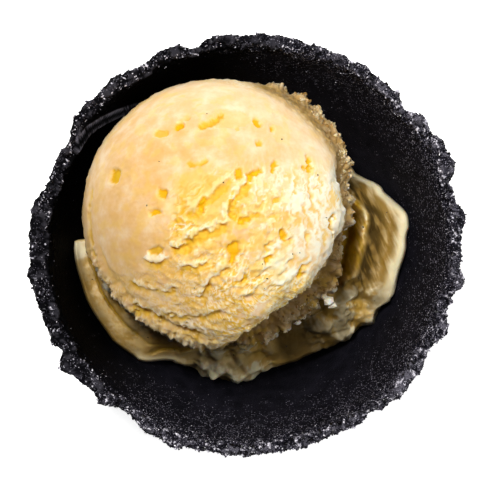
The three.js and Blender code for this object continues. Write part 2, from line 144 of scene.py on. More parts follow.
# Torn edges: width of the hollow on the right of the line, its depth, height of the crest on the left,
# and plan places along the line
TEARS = (
    (1.7, 1.7, 0.1, ((-4.5, 20.6), (-1.3, 22), (1.8, 24.1))),
    (1.2, 1, 0.1, ((-0.9, 11.9), (-3.4, 10.3), (-5, 9.8), (-7.2, 11.3))),
    (2.6, 1.6, 1, ((-10.6, -8.1), (-8.5, -8), (-6.2, -6.3), (-3.6, -5.2), (-0.4, -4), (3.3, -2.4))),
    (1.8, 1, 0.8, ((-17, -10.6), (-14.6, -11.9), (-12.6, -11.6), (-10.7, -10.4))),
    (2.2, 1.3, 0.7, ((4, -2.4), (2.6, 0.4), (5.2, 4.6), (8.6, 8.2))),
    (2, 1.2, 0.7, ((-6.2, -1.4), (-3.4, 1.4), (-0.4, 4.4), (4.6, 9.2))),
    (1.6, 0.9, 0.4, ((-9.5, -13.2), (-6, -12.6), (-3, -12.4), (0.6, -10.6))),
    (1.8, 0.9, 0.4, ((-21, -15.6), (-17, -17.6), (-12.4, -18.4), (-8, -18))),
    (1.6, 1.2, 0.8, ((-20.6, -21.5), (-15.9, -23.7), (-11.1, -24.9))),
    (1.6, 1.2, 0.8, ((-9.4, -26.3), (-6, -27.6), (-3.2, -28.5))),
    (1.8, 1, 0.8, ((-4.1, -20.4), (-2.3, -16.9), (1.6, -13.5), (3.9, -11.6))),
    (1.7, 0.9, 0.4, ((-14, -22.6), (-9, -24.2), (-4, -24.4), (2, -23))),
    (1.6, 0.5, 0.3, ((6, -20.2), (11, -17.6), (15.4, -14), (18.6, -9.6))),
    (0.8, 0.8, 0, ((-29.4, 7), (-30, 0.7), (-29.6, -6), (-28.4, -11.5))),
    (1.6, 0.5, 0.3, ((2, -18.4), (7, -16.8), (11, -13.6), (14, -10))),
)

# Lower mass
EDGE = (  # degrees round the cup, distance out, height of the edge
    (0, 41.2, 30), (10, 42, 31), (22, 38, 27), (34, 34, 24), (70, 34, 23), (110, 35, 23), (150, 36, 27),
    (176.5, 37.4, 30), (178.8, 44.2, 38), (196, 43.2, 36), (214, 42.2, 33.5), (226, 40.8, 31),
    (238, 35.5, 27), (252, 35, 25.5), (264, 35.8, 25.5), (282, 32.4, 24.5), (300, 33, 24.5),
    (318, 35.6, 25.5), (334, 38.4, 27.5), (346, 39.6, 28.5),
)
EDGE_ROUND = 2.4
EDGE_DROP = 9
SEAT_CREASE = 31.5
SEAT_RINGS = (25, 23, 12, 0)
# Forms on the top: how high or deep, and at which share of the way from the scoop to the edge
RIDGE_HIGH, RIDGE_SHARE = 4.6, 0.5
HOLLOW, HOLLOW_SHARE = 2.4, 0.78
VALLEY, VALLEY_SHARE = 1.8, 0.35
BANK_HIGH, BANK_SHARE = 4.6, 0.33
GROOVE, GROOVE_SHARE = 1, 0.7
FOLD, FOLD_SHARE = 1.4, 0.72
DIP, DIP_SHARE = 2.4, 0.22
# Sectors of the mass, as degrees round the cup: middle, half width
RIDGE_MIDDLE, RIDGE_HALF = -2, 36
LEFT_MIDDLE, LEFT_HALF = 200, 45
FRONT_LUMPS, CORNER_LUMPS = (262, 22), (322, 22)
LEFT_BANK, BANK_TIP = (204, 26), (182, 3.5)
RIGHT_SLOPE, RIDGE_BITS = (4, 34), (14, 16)
FRONT_TIP, FRONT_FOLD, FRONT_RIM = (232, 9), (240, 12), (258, 16)
SHADED_FRONT, SHADED_CORNER = (262, 28), (301, 16)
SLUMP_OUT, SLUMP_UP = 1.8, 1.5
LOWER_COLUMNS = 620
GAP = 0.4
ROUNDING = 3
LAP_MARGIN = 6

# Patterns of the surfaces: how far apart their lumps lie. The specks of the wafer and the grain of
# the ice cream are finer in life and drawn as coarse as they need to be to show.
VANILLA_PATCH, VANILLA_MOTTLE, VANILLA_CRUMB, VANILLA_GRAIN = 4.17, 3.33, 1.43, 0.77
MELTED_PATCH, MELTED_GRAIN, CRUMB_PATCH = 6.67, 0.91, 2.63
WAFER_PATCH, WAFER_CLUSTER, WAFER_GRAIN, WAFER_SPECK = 3.85, 3.03, 0.526, 0.4
GRIT_PATCH, SEED_PATCH = 1.43, 0.333
VANILLA_BUMP, MELTED_BUMP, WAFER_BUMP = 0.4, 0.3, 0.4
GLOW_DEPTH, CRUMB_GLOW = 1.8, 0.8  # how far light goes into the ice cream
ICE_CREAM_IOR = 1.36

# Camera: straight above, as far off as a product shot is taken
CAMERA_REACH = 500  # above the rim
PICTURE_WIDE = 500  # pixels
CUP_ACROSS = 423  # pixels across the mean rim
CUP_MIDDLE = (247.1, 244.5)  # pixel of the cup's middle
SENSOR_WIDE = 36

# Studio
FLOOR_WIDE = 3  # metres
WORLD_GLOW = 0.012
PICTURE_GAMMA = 0.86

# Large odd numbers that scatter the cells of a grid
CELL_STEPS = np.array((374761393, 668265263, 1440670441))
SEED_STEP, STIR = 1274126177, 1103515245


# ---- shapes of numbers

def ramp(value, low, high):
    """0 at low and 1 at high, rounded at both ends."""
    share = np.clip((value - low) / (high - low), 0, 1)
    return share * share * (3 - 2 * share)


def swell(distance, half):
    """1 in the middle and 0 from the half width on, rounded."""
    return ramp(np.abs(distance), half, 0)


def mix(low, high, share):
    return low + (high - low) * share


def turn_between(start, end):
    return (end - start + FULL_TURN / 2) % FULL_TURN - FULL_TURN / 2


def sector(around, middle, half):
    """1 through the middle of a sector and 0 outside it."""
    return ramp(swell(turn_between(middle, around), half * 1.3), 0, 0.5)


def polar(radius, degrees, height):
    angle = np.radians(degrees)
    return np.stack((radius * np.cos(angle), radius * np.sin(angle), height + 0 * angle), axis=-1)


def chance(cells, seed):
    """A random number of -1 to 1 for each cell of a grid, the same on each run."""
    mixed = cells @ CELL_STEPS + seed * SEED_STEP
    mixed = (mixed ^ (mixed >> 13)) * STIR
    mixed = mixed ^ (mixed >> 16)
    return (mixed & 0xFFFFFF) / 0x7FFFFF - 1


def chance_point(cells, seed):
    return np.stack([chance(cells, seed * 3 + axis) for axis in range(3)], axis=-1)


def one_cloud(places, seed):
    corner = np.floor(places).astype(np.int64)
    inside = places - corner
    ease = inside * inside * inside * (inside * (inside * 6 - 15) + 10)
    total = np.zeros(len(places))
    for step in np.ndindex(2, 2, 2):
        step = np.array(step)
        slope = chance_point(corner + step, seed)
        weight = np.prod(np.where(step, ease, 1 - ease), axis=1)
        total += weight * np.sum(slope * (inside - step), axis=1)
    return total * 1.5


def cloud(places, size, seed, octaves=3, rough=0.5):
    """Smooth noise of about -1 to 1, its lumps about size across; each octave is half as large."""
    spots = places / size
    total = np.zeros(len(places))
    for octave in range(octaves):
        total += one_cloud(spots, seed * 10 + octave) * rough ** octave
        spots = spots[:, (1, 2, 0)] * 2.03 + 5.2
    return total


def pebbles(places, size, seed):
    """Round lumps side by side: 1 at the top of a lump, 0 in the cracks between."""
    spots = places / size
    cell = np.floor(spots).astype(np.int64)
    near = np.full(len(places), 9.0)
    for step in np.ndindex(3, 3, 3):
        spot = cell + np.array(step) - 1
        middle = spot + 0.5 + 0.45 * chance_point(spot, seed)
        near = np.minimum(near, np.sum((spots - middle) ** 2, axis=1))
    return np.sqrt(np.clip(1 - near / 0.55, 0, 1))


# ---- meshes

def mesh_from(name, work, places, attributes, smooth=True):
    """A mesh in metres from a bmesh, its vertices put at the places given in millimetres."""
    mesh = bpy.data.meshes.new(name)
    work.to_mesh(mesh)
    work.free()
    mesh.vertices.foreach_set("co", (places * MM).astype(np.float32).ravel())
    mesh.update()
    again = bmesh.new()
    again.from_mesh(mesh)
    bmesh.ops.recalc_face_normals(again, faces=again.faces)
    again.to_mesh(mesh)
    again.free()
    for title, values in attributes.items():
        layer = mesh.attributes.new(title, "FLOAT", "POINT")
        layer.data.foreach_set("value", np.asarray(values, dtype=np.float32))
    mesh.polygons.foreach_set("use_smooth", [smooth] * len(mesh.polygons))
    return mesh


def places_of(work):
    return np.array([vertex.co[:] for vertex in work.verts])


def spun(rows, columns):
    """A ball-like grid about Z, closed at both ends, with each vertex's row and column."""
    work = bmesh.new()
    bmesh.ops.create_grid(work, x_segments=columns, y_segments=rows - 1, size=0.5)
    for vertex in work.verts:
        turn = (vertex.co.x + 0.5) * math.tau
        row = round((vertex.co.y + 0.5) * (rows - 1))
        radius = 0 if row in (0, rows - 1) else 1
        vertex.co = (radius * math.cos(turn), radius * math.sin(turn), row)
    bmesh.ops.remove_doubles(work, verts=work.verts, dist=0.0005)
    spots = places_of(work)
    row = np.rint(spots[:, 2]).astype(int)
    turn = np.degrees(np.arctan2(spots[:, 1], spots[:, 0]))
    column = np.rint(turn / FULL_TURN * columns).astype(int) % columns
    return work, row, column


def scattered(name, middles, sizes, flatness, seed):
    """Small angular crumbs of a few faces each, in one mesh, turned every way."""
    work = bmesh.new()
    bmesh.ops.create_icosphere(work, subdivisions=1, radius=1)
    one = places_of(work)
    count = len(middles)
    while len(work.verts) < len(one) * count:
        bmesh.ops.duplicate(work, geom=work.verts[:] + work.edges[:] + work.faces[:])
    bmesh.ops.delete(work, geom=work.verts[len(one) * count:], context="VERTS")
    rng = np.random.default_rng(seed)
    turns = np.linalg.qr(rng.normal(size=(count, 3, 3)))[0]
    widths = np.stack((np.ones(count), rng.uniform(0.6, 1, count), np.full(count, flatness)), axis=1)
    shapes = one[None] * (1 + rng.uniform(-0.35, 0.35, (count, len(one), 1))) * widths[:, None]
    places = np.einsum("cij,cvj->cvi", turns, shapes) * sizes[:, None, None] + middles[:, None]
    return mesh_from(name, work, places.reshape(-1, 3), {}, smooth=False)


def strewn(name, places, weight, count, sizes, flatness, rng, seed):
    """Bits scattered over a surface, the more of them the higher the weight."""
    picked = rng.choice(len(places), count, replace=False, p=weight / weight.sum())
    return scattered(name, places[picked], rng.uniform(*sizes, count), flatness, seed)


def add_piece(mesh, material, stands_for=None):
    piece = bpy.data.objects.new(mesh.name, mesh)
    scene.collection.objects.link(piece)
    mesh.materials.append(material)
    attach(piece, "root")
    if stands_for:
        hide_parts(stands_for)


# ---- materials

def linear(code):
    """An sRGB hex colour as linear red, green, blue and alpha."""
    parts = [int(code[i:i + 2], 16) / 255 for i in (0, 2, 4)]
    return tuple(p / 12.92 if p <= 0.04045 else ((p + 0.055) / 1.055) ** 2.4 for p in parts) + (1,)


def repeats(size):
    """The scale of a pattern whose lumps are this many millimetres across."""
    return 1 / (size * MM)


def node(tree, kind, out=0, settings=None, stops=(), **inputs):
    """Add a node with its settings and colour stops, and give back the output asked for. An input
    is a value, a hex colour or a socket to link from, and _6 is the input with that number."""
    made = tree.nodes.new("ShaderNode" + kind)
    for title, value in (settings or {}).items():
        setattr(made, title, value)
    if stops:
        marks = made.color_ramp.elements
        while len(marks) < len(stops):
            marks.new(0.5)
        for mark, (place, code) in zip(marks, stops):
            mark.position = place
            mark.color = linear(code)
    for title, value in inputs.items():
        place = int(title[1:]) if title[1:].isdigit() else title.replace("_", " ")
        if isinstance(value, bpy.types.NodeSocket):
            tree.links.new(value, made.inputs[place])
        else:
            made.inputs[place].default_value = linear(value) if isinstance(value, str) else value
    return made.outputs[out] if made.outputs else None


def new_material(name, *masks):
    """A material, the function that adds a node to it, the place on the piece and its masks."""
    material = bpy.data.materials.new(name)
    material.use_nodes = True
    material.node_tree.nodes.clear()
    add = partial(node, material.node_tree)
    masks = [add("Attribute", "Fac", {"attribute_name": mask}) for mask in masks]
    return material, add, add("TexCoord", "Object"), *masks


COLOURS = {"data_type": "RGBA"}
LARGER = {"operation": "MAXIMUM"}
LESS = {"operation": "SUBTRACT"}
PLUS = {"operation": "ADD"}
PLUS_TO_ONE = {"operation": "ADD", "use_clamp": True}
TIMES = {"operation": "MULTIPLY"}
TIMES_TO_ONE = {"operation": "MULTIPLY", "use_clamp": True}
TIMES_PLUS = {"operation": "MULTIPLY_ADD"}


# Vanilla ice cream, firm: frozen foam of cream and egg yolk. Light goes a millimetre or two into it
# and comes back warmer, so hollows glow yellow and frosted crests are pale. The yellow of the hollows
# is painted shade as well, the pale is partly painted highlight, and the brown is painted shade.
def frozen_vanilla():
    material, add, spots, hollow, frost, rough, damp = new_material(
        "frozen_vanilla", "hollow", "frost", "rough", "damp",
    )
    patches = add("TexNoise", Vector=spots, Scale=repeats(VANILLA_PATCH), Detail=4, Roughness=0.55)
    mottle = add("TexNoise", Vector=spots, Scale=repeats(VANILLA_MOTTLE), Roughness=0.45)
    crumbs = add("TexNoise", Vector=spots, Scale=repeats(VANILLA_CRUMB), Detail=3, Roughness=0.55)
    grain = add("TexNoise", Vector=spots, Scale=repeats(VANILLA_GRAIN), Detail=4, Roughness=0.65)
    body = add("ValToRGB", stops=((0.35, "ECC382"), (0.5, "F0CC98"), (0.68, "F6DDB8")), Fac=patches)
    pocket = add("MapRange", Value=mottle, From_Min=0.5, From_Max=0.38, To_Min=0, To_Max=0.7)
    pocketed = add("Math", 0, TIMES, _0=pocket, _1=rough)
    sunk = add("Math", 0, LARGER, _0=pocketed, _1=hollow)
    crest = add("MapRange", Value=mottle, From_Min=0.52, From_Max=0.64, To_Min=0, To_Max=0.6)
    crested = add("Math", 0, TIMES, _0=crest, _1=rough)
    frosting = add("Math", 0, TIMES_PLUS, _0=grain, _1=0.5, _2=-0.25)
    frosted = add("Math", 0, PLUS_TO_ONE, _0=frost, _1=frosting)
    covered = add("Math", 0, TIMES_TO_ONE, _0=frosted, _1=frost)
    share = add("Math", 0, LARGER, _0=covered, _1=crested)
    # pale: partly frost and partly painted highlight
    pale = add("Mix", 2, COLOURS, Factor=share, _6=body, _7="FFF2DC")
    # painted shade: the hollows are tinted deep yellow
    deep = add("ValToRGB", stops=((0, "F8DC96"), (0.4, "F5CF58"), (1, "ECBE16")), Fac=sunk)
    tinted = add("Mix", 2, COLOURS, Factor=sunk, _6=pale, _7=deep)
    # painted shade: brown 96743A on the torn side and the lower left
    shaded_colour = add("Mix", 2, COLOURS, Factor=damp, _6=tinted, _7="96743A")
    amount = add("Math", 0, TIMES_PLUS, _0=rough, _1=0.5, _2=0.08)
    height = add("Math", 0, TIMES, _0=crumbs, _1=amount)
    bump = add("Bump", Height=height, Distance=VANILLA_BUMP * MM)
    shader = add(
        "BsdfPrincipled", Base_Color=shaded_colour, Roughness=0.55, IOR=ICE_CREAM_IOR, Subsurface_Weight=0.75,
        Subsurface_Radius=(1, 0.92, 0.7), Subsurface_Scale=GLOW_DEPTH * MM, Normal=bump,
    )
    add("OutputMaterial", Surface=shader)
    return material


# The same ice cream half melted: the foam has run together, so it is glossier, yellower and smoother.
# Its olive hollows and its brown are painted shade, and its pale is partly frost and partly painted
# highlight.
def melted_vanilla():
    material, add, spots, hollow, frost, damp = new_material("melted_vanilla", "hollow", "frost", "damp")
    patches = add("TexNoise", Vector=spots, Scale=repeats(MELTED_PATCH), Detail=3)
    grain = add("TexNoise", Vector=spots, Scale=repeats(MELTED_GRAIN))
    body = add("ValToRGB", stops=((0.35, "C4A052"), (0.65, "DABA78")), Fac=patches)
    pale = add("Mix", 2, COLOURS, Factor=frost, _6=body, _7="EFE4C2")
    # painted shade: olive yellow in the valley, groove, fold and the troughs between lumps
    tinted = add("Mix", 2, COLOURS, Factor=hollow, _6=pale, _7="B08E10")
    # painted shade: brown in the scoop's shadow, on the shaded slope and on the bank's outer edge
    shaded_colour = add("Mix", 2, COLOURS, Factor=damp, _6=tinted, _7="604C22")
    bump = add("Bump", Height=grain, Strength=0.5, Distance=MELTED_BUMP * MM)
    shader = add(
        "BsdfPrincipled", Base_Color=shaded_colour, Roughness=0.42, IOR=ICE_CREAM_IOR, Subsurface_Weight=0.5,
        Subsurface_Radius=(1, 0.8, 0.5), Subsurface_Scale=GLOW_DEPTH * MM, Normal=bump,
    )
    add("OutputMaterial", Surface=shader)
    return material


# Charcoal-black baked wafer: dry, brittle and finely blistered, with pale specks of toasted crumb that are
# partly painted glints, painted highlights on the lap's edge and the rim, and painted shade on the unlit
# wall.
def black_wafer():
    material, add, spots, speckle, worn, sooty = new_material("black_wafer", "speckle", "worn", "sooty")
    away = add("TexVoronoi", "Distance", Vector=spots, Scale=repeats(WAFER_SPECK))
    chosen = add("SeparateColor", Color=away.node.outputs["Color"])
    clusters = add("TexNoise", Vector=spots, Scale=repeats(WAFER_CLUSTER), Detail=3, Roughness=0.6)
    rare = add("MapRange", Value=clusters, From_Min=0.35, From_Max=0.65, To_Min=1.25, To_Max=0.85)
    rarer = add("Math", 0, TIMES_PLUS, _0=speckle, _1=-0.65, _2=rare)
    pale_cell = add("Math", 0, LESS, _0=chosen, _1=rarer)
    shade = add("Math", 0, TIMES_TO_ONE, _0=pale_cell, _1=2.2)
    dot = add("MapRange", Value=away, From_Min=0.2, From_Max=0.45, To_Min=1, To_Max=0)
    speck = add("Math", 0, TIMES, _0=shade, _1=dot)
    grain = add("TexNoise", Vector=spots, Scale=repeats(WAFER_GRAIN), Detail=4, Roughness=0.7)
    height = add("Math", 0, PLUS, _0=speck, _1=grain)
    patches = add("TexNoise", Vector=spots, Scale=repeats(WAFER_PATCH), Detail=4, Roughness=0.6)
    clean = add("ValToRGB", stops=((0.3, "14141B"), (0.7, "292832")), Fac=patches)
    # painted shade: near black 030304 on the unlit wall
    body = add("Mix", 2, COLOURS, Factor=sooty, _6=clean, _7="030304")
    # painted highlight: 8A8894 along the lap's cut edge and on the rim's crests
    highlighted = add("Mix", 2, COLOURS, Factor=worn, _6=body, _7="8A8894")
    # the pale specks D8D4E6 are partly painted glints
    speckled = add("Mix", 2, COLOURS, Factor=speck, _6=highlighted, _7="D8D4E6")
    bump = add("Bump", Height=height, Distance=WAFER_BUMP * MM)
    shader = add(
        "BsdfPrincipled", Base_Color=speckled, Roughness=0.55, Specular_IOR_Level=0.06, Normal=bump,
    )
    add("OutputMaterial", Surface=shader)
    return material


def mottled(name, patch, stops, **finish):
    """A material of one mottled colour, with the finish that is given."""
    material, add, spots = new_material(name)
    patches = add("TexNoise", Vector=spots, Scale=repeats(patch))
    body = add("ValToRGB", stops=stops, Fac=patches)
    add("OutputMaterial", Surface=add("BsdfPrincipled", Base_Color=body, **finish))
    return material


# Broken-off crumbs of the ice cream, white with ice crystals.
def frosted_crumb(name, low, high):
    return mottled(
        name, CRUMB_PATCH, ((0.4, low), (0.62, high)), Roughness=0.9, IOR=ICE_CREAM_IOR,
        Specular_IOR_Level=0.2, Subsurface_Weight=0.5, Subsurface_Radius=(1, 0.7, 0.4),
        Subsurface_Scale=CRUMB_GLOW * MM,
    )


# Grit of the wafer: hard glazed splinters that glint; their palest colour is a painted glint.
def grit_wafer():
    stops = ((0.44, "0E0D12"), (0.54, "5A5864"), (0.61, "DEDCE6"))
    return mottled("grit_wafer", GRIT_PATCH, stops, Roughness=0.25, IOR=1.5)


# Ground vanilla seed: small, black and hard.
def vanilla_seed():
    return mottled("vanilla_seed", SEED_PATCH, ((0.3, "1B120A"), (0.7, "33200F")), Roughness=0.5)


# White paper with light coming through it.
def pale_floor():
    material, add = new_material("pale_floor")[:2]
    shader = add(
        "BsdfPrincipled", Base_Color="F6F6F6", Roughness=0.9, Emission_Color="FFFFFF",
        Emission_Strength=0.9,
    )
    add("OutputMaterial", Surface=shader)
    return material


# ---- wafer cup

def plain_outside(height):
    share = height / CUP_HEIGHT
    return mix(BASE_RADIUS, RIM_RADIUS, share) + BOW * np.sin(math.pi * share)


def out_of_round(degrees, height):
    wave = sum(high * np.cos(np.radians(count * (degrees - crest))) for count, high, crest in WAVES)
    return wave * (height / CUP_HEIGHT) ** 2


def crag_reach(degrees):
    return sum(
        reach * swell(turn_between(middle, degrees), half * CRAG_SPREAD) for middle, half, reach in CRAGS
    )


def lap_drift(lap, height, least=0):
    """How many degrees the lap's cut edge has drifted at this height."""
    return lap["slant"] * np.clip(1 - height / CUP_HEIGHT, least, 1) ** LAP_CURVE


def lap_across(lap, degrees, height):
    """Millimetres from the lap's cut edge, measured square to it, more than 0 on the lap."""
    depth = np.clip(1 - height / CUP_HEIGHT, LEAST_DEPTH, 1)
    past = turn_between(lap["cut"] + lap_drift(lap, height, LEAST_DEPTH), degrees)
    along = np.radians(past) * RIM_RADIUS * np.sign(lap["turn"])
    lean = math.radians(abs(lap["slant"])) * RIM_RADIUS * LAP_CURVE * depth ** (LAP_CURVE - 1) / CUP_HEIGHT
    return along / np.sqrt(1 + lean ** 2)


def lap_share(lap, degrees, height):
    """How proud the lap stands: 1 at its cut edge, thinning to 0, with a bead along the edge."""
    drift = lap_drift(lap, height)
    sense = np.sign(lap["turn"])
    past = turn_between(lap["cut"] + drift, degrees) * sense
    span = (lap["turn"] - drift) * sense
    across = lap_across(lap, degrees, height)
    body = np.clip(1 - np.maximum(past, 0) / span, 0, 1) * ramp(across, -0.5, 0.4)
    return body + LAP_BEAD * swell(across - 0.5, LAP_BEAD_WIDE)


def lap_bead(lap, degrees, height):
    """1 along the two lines of painted highlight on the lap's cut edge and 0 away from them."""
    across = lap_across(lap, degrees, height)
    return np.maximum(swell(across + 0.45, 0.25), 0.7 * swell(across - 0.5, 0.25))


def up_the_wall(side, start, stop, step):
    return [(side, 0, height) for height in np.arange(start, stop, step)]


def cup_stations():
    """The cup's section from under the base round to the floor, as (side, radius, height). The rim
    has a share of its width for a radius, and the wall none, since it follows the cup's form."""
    stations = [("foot", radius, 0) for radius in (0, 8, 16, 22, 25, BASE_RADIUS - FOOT_ROUND)]
    for step in range(1, 6):
        angle = math.pi / 2 * step / 5
        radius = BASE_RADIUS - FOOT_ROUND * (1 - math.sin(angle))
        stations.append(("foot", radius, FOOT_ROUND * (1 - math.cos(angle))))
    stations += up_the_wall("outside", 3.6, 40, 2) + up_the_wall("outside", 40, 46.2, 0.5)
    stations += [("rim", share, CUP_HEIGHT) for share in np.linspace(0, 1, 9)]
    stations += up_the_wall("inside", 46, 39, -0.22) + up_the_wall("inside", 39, 36, -0.4)
    stations += up_the_wall("inside", 36, 9, -1.4)
    floor_radius = float(plain_outside(FLOOR_THICK)) - WALL_THICK - FLOOR_ROUND
    for out, up in ((0.8, 0.45), (0.45, 0.12), (0, 0)):
        stations.append(("foot", floor_radius + FLOOR_ROUND * out, FLOOR_THICK + FLOOR_ROUND * up))
    return stations + [("foot", 0, FLOOR_THICK)]


def wafer_cup():
    stations = cup_stations()
    work, row, column = spun(len(stations), CUP_COLUMNS)
    side, fixed, height = (np.array(values)[row] for values in zip(*stations))
    degrees = column / CUP_COLUMNS * FULL_TURN
    foot, on_rim = side == "foot", side == "rim"

    plain = plain_outside(height) + out_of_round(degrees, height)
    outside = plain + LAP_STEP * lap_share(OUTER_LAP, degrees, height)
    inside = plain - WALL_THICK - LAP_STEP * lap_share(INNER_LAP, degrees, height)
    over = np.where(on_rim, fixed, np.where(side == "inside", 1, 0))
    torn = crag_reach(degrees) * ramp(height, CUP_HEIGHT - CRAG_DEPTH, CUP_HEIGHT)
    radius = np.where(foot, fixed, mix(outside + torn, inside + torn * CRAG_INSIDE, over))
    arch = np.where(on_rim, np.sin(math.pi * fixed) * RIM_ARCH - RIM_SUNK, 0)
    places = polar(radius, degrees, np.where(foot, height, height + CRAG_LIFT * torn + arch))

    # Blisters and torn flakes, in millimetres: fine all over, coarse at the rim
    near_rim = ramp(height, CUP_HEIGHT - RIM_BAND, CUP_HEIGHT - 0.5) * ~foot
    grainy = np.where(foot, np.where(height > 0.5, 0.4, 0), 1)
    fine = cloud(places, FINE_BLISTER, 1, 2)
    coarse = cloud(places, COARSE_CRAG, 2, 4, 0.62)
    crust = np.abs(cloud(places, CRUST, 4, 3, 0.6)) - 0.2
    blister = pebbles(places, BLISTER, 3) - 0.5
    outwards = polar(1, degrees, 0)
    facing = np.where(over > 0.5, -1, 1)
    shaded = sector(degrees, *SHADED_SECTOR)
    push = near_rim * (0.6 * coarse + (0.35 - 0.2 * shaded) * blister + 0.3 * crust)
    push = (push + 0.16 * fine * grainy) * facing * (1 - 0.6 * np.abs(over - 0.5))
    places = places + outwards * push[:, None]
    places[:, 2] += near_rim * (0.8 * coarse + 0.6 * blister + 0.4 * crust + 0.25 * fine)
    for middle, out, high, size in BUBBLES:
        away = places - polar(out, middle, high)
        distance = np.linalg.norm(away, axis=1)
        swollen = swell(distance, size * 1.8) * size * 0.7
        places = places + away * (swollen / np.maximum(distance, 0.01))[:, None]

    # Where the wafer gets pale specks and painted glints, painted highlights on the lap's edge and the
    # rim, and painted shade on the unlit wall
    lit = 1 - sector(degrees, *UNLIT_SECTOR)
    # Pale specks and painted glints, fewer deep down and fewest in the shaded sector, where the wall is in
    # shade
    speckle = (ramp(height, *SPECKLED_FROM) + 0.2 * near_rim) * (1 - shaded)
    speckle = np.maximum(speckle, on_rim * (0.8 - 0.35 * shaded))
    # Painted highlight along the lap's cut edge, and on the rim's crests, more on the lit side
    worn = lap_bead(INNER_LAP, degrees, height) * (over == 1) * ramp(height, *LAP_HIGHLIGHT_FROM)
    worn = worn * ramp(fine + 0.8 * coarse, -0.7, 0.1)
    worn = np.maximum(worn, (0.2 + 0.4 * lit) * on_rim * ramp(coarse + 0.8 * fine, 0, 0.5))
    # Painted shade: the wall and the rim in the shaded sector are darkened towards black
    sooty = shaded * np.where(on_rim, 0.75, over == 1) * (1 - worn)
    mesh = mesh_from("wafer_cup_baked", work, places, {"speckle": speckle, "worn": worn, "sooty": sooty})
    add_piece(mesh, black_wafer(), "wafer_cup")

    # Loose baked grit in the rim and on the wall inside; more of it on the lit side and less on the shaded
    # wall, so its pale glints are partly painted light
    rng = np.random.default_rng(3)
    weight = near_rim * (1 - 0.85 * shaded * (over == 1)) * (0.5 + lit)
    weight = weight + 0.05 * (over == 1) * (1 - shaded)
    grit = strewn("wafer_grit", places, weight, GRIT, GRIT_SIZE, 0.5, rng, 4)
    add_piece(grit, grit_wafer())
    weight = on_rim * (0.5 + lit)
    flakes = strewn("wafer_flakes", places, weight, FLAKES, FLAKE_SIZE, 0.35, rng, 5)
    add_piece(flakes, grit_wafer())


# ---- scoop

def pit_mask(x, y):
    """How deep each place lies in a pit: the pit's depth on its floor, 0 outside."""
    deepest = 0 * x
    for middle_x, middle_y, width, height, turn, depth in PITS:
        angle = math.radians(turn)
        across = (x - middle_x) * math.cos(angle) + (y - middle_y) * math.sin(angle)
        along = (y - middle_y) * math.cos(angle) - (x - middle_x) * math.sin(angle)
        square = (np.abs(across / (width / 2)) ** 3 + np.abs(along / (height / 2)) ** 3) ** (1 / 3)
        edge = 0.5 / min(width, height)
        deepest = np.maximum(deepest, depth * ramp(square, 1 + edge, 1 - edge))
    return deepest


def tear_relief(x, y):
    """Crests and hollows along the torn edges, each of 0 or more."""
    crests, hollows = 0 * x, 0 * x
    for wide, depth, crest, line in TEARS:
        best, side, share = np.full(len(x), np.inf), 0 * x, 0 * x
        for step, (start, end) in enumerate(zip(line, line[1:])):
            dx, dy = end[0] - start[0], end[1] - start[1]
            along = np.clip(((x - start[0]) * dx + (y - start[1]) * dy) / (dx * dx + dy * dy), 0, 1)
            off_x, off_y = x - start[0] - along * dx, y - start[1] - along * dy
            distance = np.hypot(off_x, off_y)
            nearer = distance < best
            best = np.where(nearer, distance, best)
            side = np.where(nearer, np.sign(dx * off_y - dy * off_x), side)
            share = np.where(nearer, (step + along) / (len(line) - 1), share)
        ends = ramp(share, 0, 0.12) * ramp(share, 1, 0.88)
        signed = best * side
        hollow = ends * depth * ramp(signed, 0.3, -0.5) * ramp(signed, -wide * 1.5, -0.5)
        hollows = np.maximum(hollows, hollow)
        crests = np.maximum(crests, ends * crest * ramp(signed, -0.1, 0.3) * ramp(signed, 2.2, 0.4))
    return crests, hollows


def scoop_directions():
    work = bmesh.new()
    bmesh.ops.create_cube(work, size=2)
    bmesh.ops.subdivide_edges(work, edges=work.edges, cuts=SCOOP_CUTS, use_grid_fill=True)
    spots = np.tan(places_of(work) * math.pi / 4)
    ways = spots / np.linalg.norm(spots, axis=1)[:, None]
    from_top = np.arccos(np.clip(ways[:, 2], -1, 1))
    around = np.arctan2(ways[:, 1], ways[:, 0])
    drawn = from_top - 0.22 * np.sin(from_top)
    ways = np.stack((np.sin(drawn) * np.cos(around), np.sin(drawn) * np.sin(around), np.cos(drawn)), 1)
    return work, ways, np.degrees(drawn), np.degrees(around)


def terraces(field, levels, sharp=0.05, band=0.2):
    """Torn steps of a noise field: their height, the crests above the steps and the hollows below."""
    height, crest, hollow = 0 * field, 0 * field, 0 * field
    for level in levels:
        over = field - level
        height += ramp(over, -sharp, sharp) / len(levels)
        crest = np.maximum(crest, ramp(over, -sharp / 2, sharp) * ramp(over, band, band / 3))
        hollow = np.maximum(hollow, ramp(over, sharp / 2, -sharp) * ramp(over, -band, -band / 3))
    return height, crest, hollow


